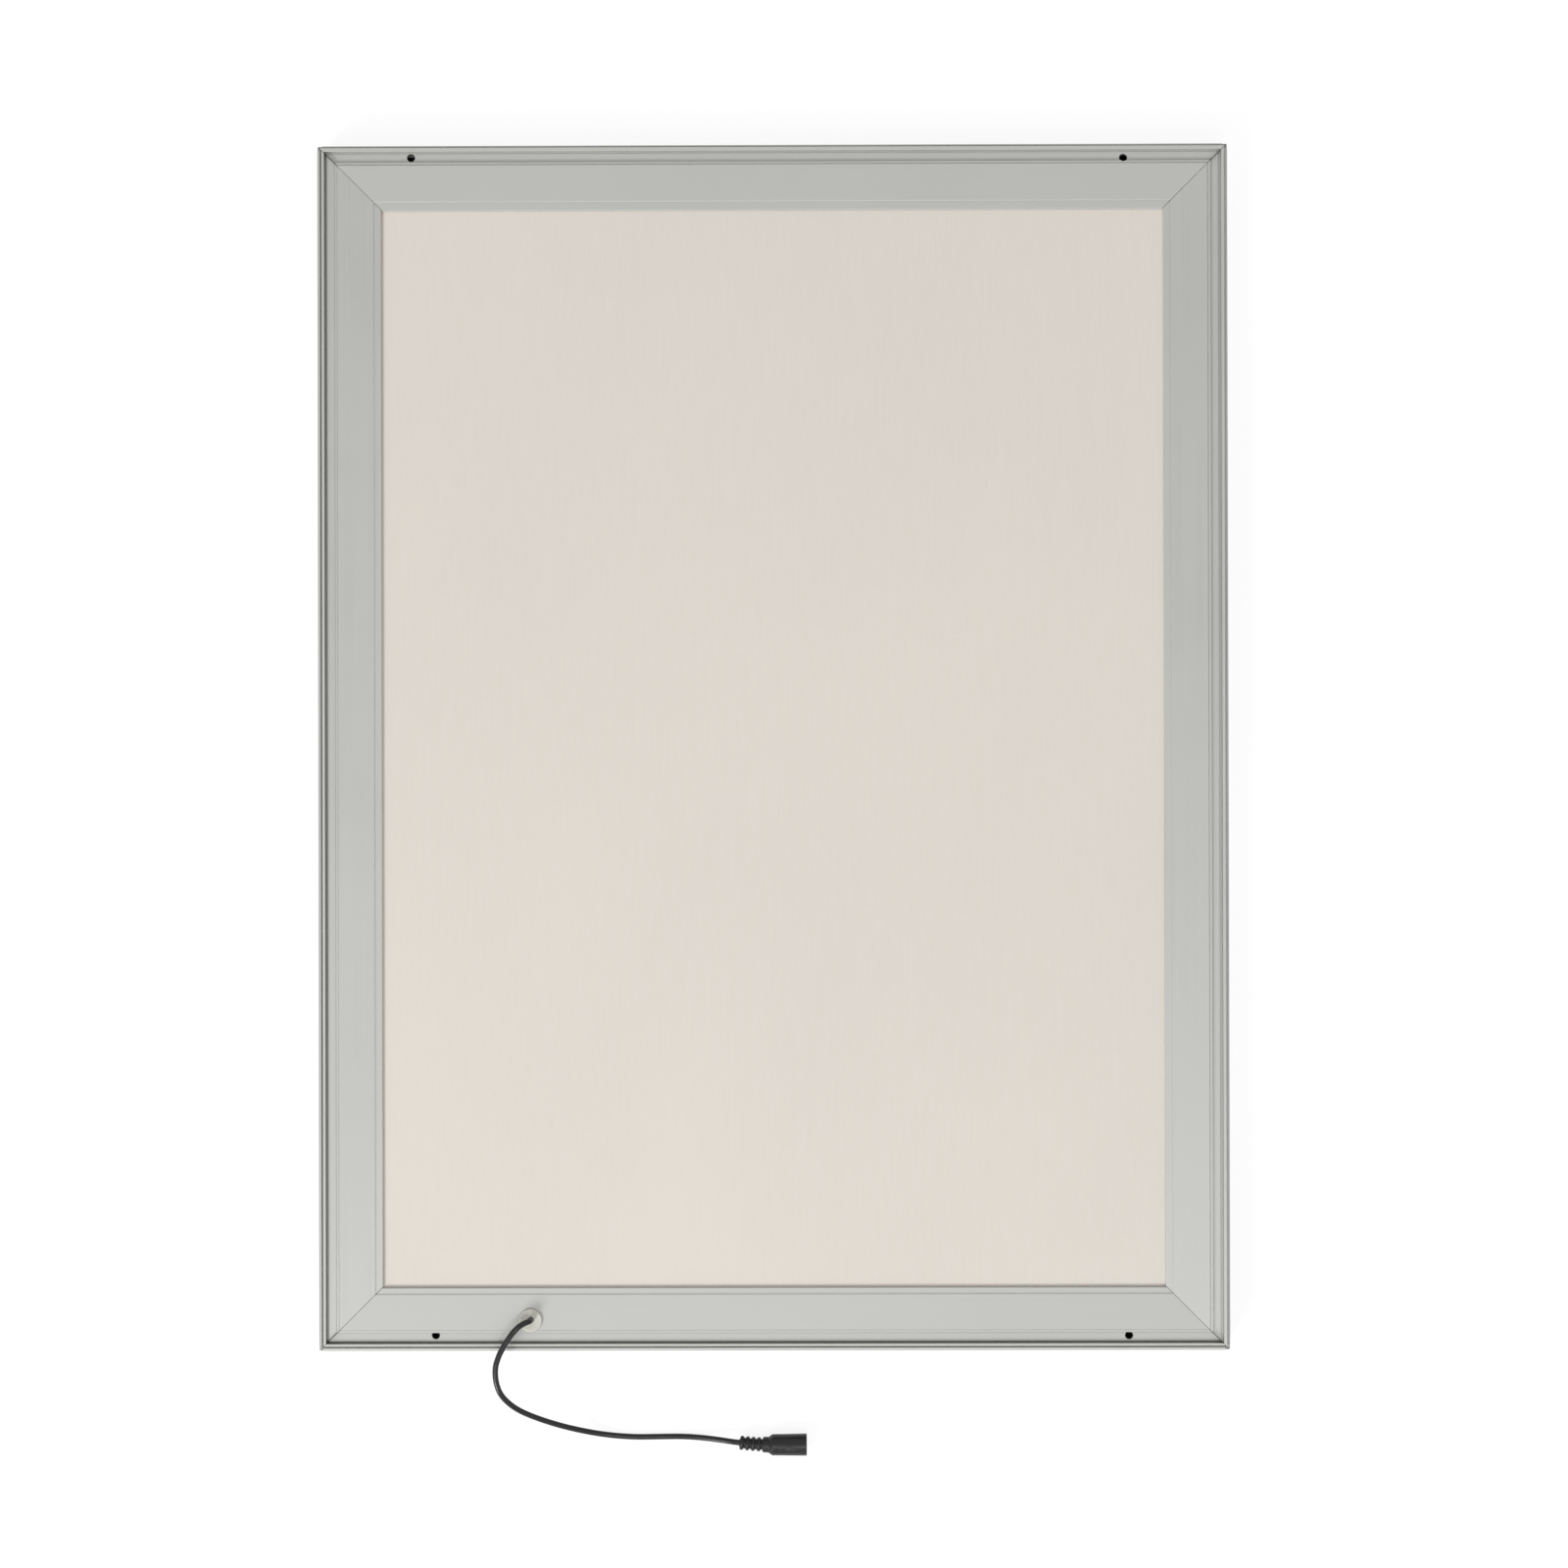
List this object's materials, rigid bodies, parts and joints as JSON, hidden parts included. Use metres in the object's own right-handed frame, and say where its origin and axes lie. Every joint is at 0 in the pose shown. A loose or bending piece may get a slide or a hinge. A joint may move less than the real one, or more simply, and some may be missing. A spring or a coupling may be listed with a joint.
{
  "type": "led poster light box",
  "caption": "Slim edge-lit poster light box with a snap-open aluminium frame, lying on its front, its low-voltage cord and inline socket beside it.",
  "frame": {"origin": "middle of the box's footprint, on the plane that its front rests on", "axes": "+Z out of the back, +Y to the top edge, +X to the right seen from behind"},
  "size_m": [0.4702, 0.6799, 0.0383],
  "materials": {
    "fixed_frame": "satin anodised silver",
    "cover_aluminium": "satin anodised silver",
    "key_steel": "zinc plated",
    "screw_steel": "plain, bright",
    "spring_steel": "tempered strip",
    "panel_white": "matt warm white foamed sheet",
    "reflector_white": "matt white film",
    "guide_acrylic": "clear, with a printed dot pattern",
    "opal_acrylic": "opal, satin",
    "clear_acrylic": "clear, anti-glare",
    "board_white": "white solder mask",
    "grommet_cream": "smooth moulded",
    "cord_black": "flexible sheath, semi-matt",
    "socket_black": "moulded, semi-matt",
    "contact_nickel": "nickel plated",
    "lead_black": "insulation",
    "lead_red": "insulation",
    "tie_white": "moulded"
  },
  "bodies": {
    "root": {"back_panel": "panel_white", "clear_poster_cover": "clear_acrylic", "cord_tail": "cord_black", "cord_tie": "tie_white", "corner_key_bottom_left": "key_steel", "corner_key_bottom_right": "key_steel", "corner_key_top_left": "key_steel", "corner_key_top_right": "key_steel", "cover_spring_bottom_1": "spring_steel", "cover_spring_bottom_2": "spring_steel", "cover_spring_left_1": "spring_steel", "cover_spring_left_2": "spring_steel", "cover_spring_left_3": "spring_steel", "cover_spring_right_1": "spring_steel", "cover_spring_right_2": "spring_steel", "cover_spring_right_3": "spring_steel", "cover_spring_top_1": "spring_steel", "cover_spring_top_2": "spring_steel", "dc_socket_contact": "contact_nickel", "dc_socket_pin": "contact_nickel", "dc_socket_shell": "socket_black", "frame_profile_bottom": "fixed_frame", "frame_profile_left": "fixed_frame", "frame_profile_right": "fixed_frame", "frame_profile_top": "fixed_frame", "grommet": "grommet_cream", "grub_screw_bottom_left_a": "screw_steel", "grub_screw_bottom_left_b": "screw_steel", "grub_screw_bottom_right_a": "screw_steel", "grub_screw_bottom_right_b": "screw_steel", "grub_screw_top_left_a": "screw_steel", "grub_screw_top_left_b": "screw_steel", "grub_screw_top_right_a": "screw_steel", "grub_screw_top_right_b": "screw_steel", "led_strip_left": "board_white", "led_strip_right": "board_white", "light_guide_plate": "guide_acrylic", "opal_diffuser": "opal_acrylic", "power_cord": "cord_black", "reflector_sheet": "reflector_white", "strip_lead_left": "lead_black", "strip_lead_right": "lead_red"},
    "cover_top": {"snap_cover_top": "cover_aluminium"},
    "cover_bottom": {"snap_cover_bottom": "cover_aluminium"},
    "cover_left": {"snap_cover_left": "cover_aluminium"},
    "cover_right": {"snap_cover_right": "cover_aluminium"}
  },
  "joints": [
    {"name": "snap_cover_top_hinge", "type": "hinge", "parent": "root", "child": "cover_top", "pos_m": [0, 0.31, 0.0237], "axis": [1, 0, 0], "range_deg": [0, 90]},
    {"name": "snap_cover_bottom_hinge", "type": "hinge", "parent": "root", "child": "cover_bottom", "pos_m": [0, -0.31, 0.0237], "axis": [-1, 0, 0], "range_deg": [0, 90]},
    {"name": "snap_cover_left_hinge", "type": "hinge", "parent": "root", "child": "cover_left", "pos_m": [-0.2338, 0, 0.0237], "axis": [0, 1, 0], "range_deg": [0, 90]},
    {"name": "snap_cover_right_hinge", "type": "hinge", "parent": "root", "child": "cover_right", "pos_m": [0.2338, 0, 0.0237], "axis": [0, -1, 0], "range_deg": [0, 90]}
  ]
}
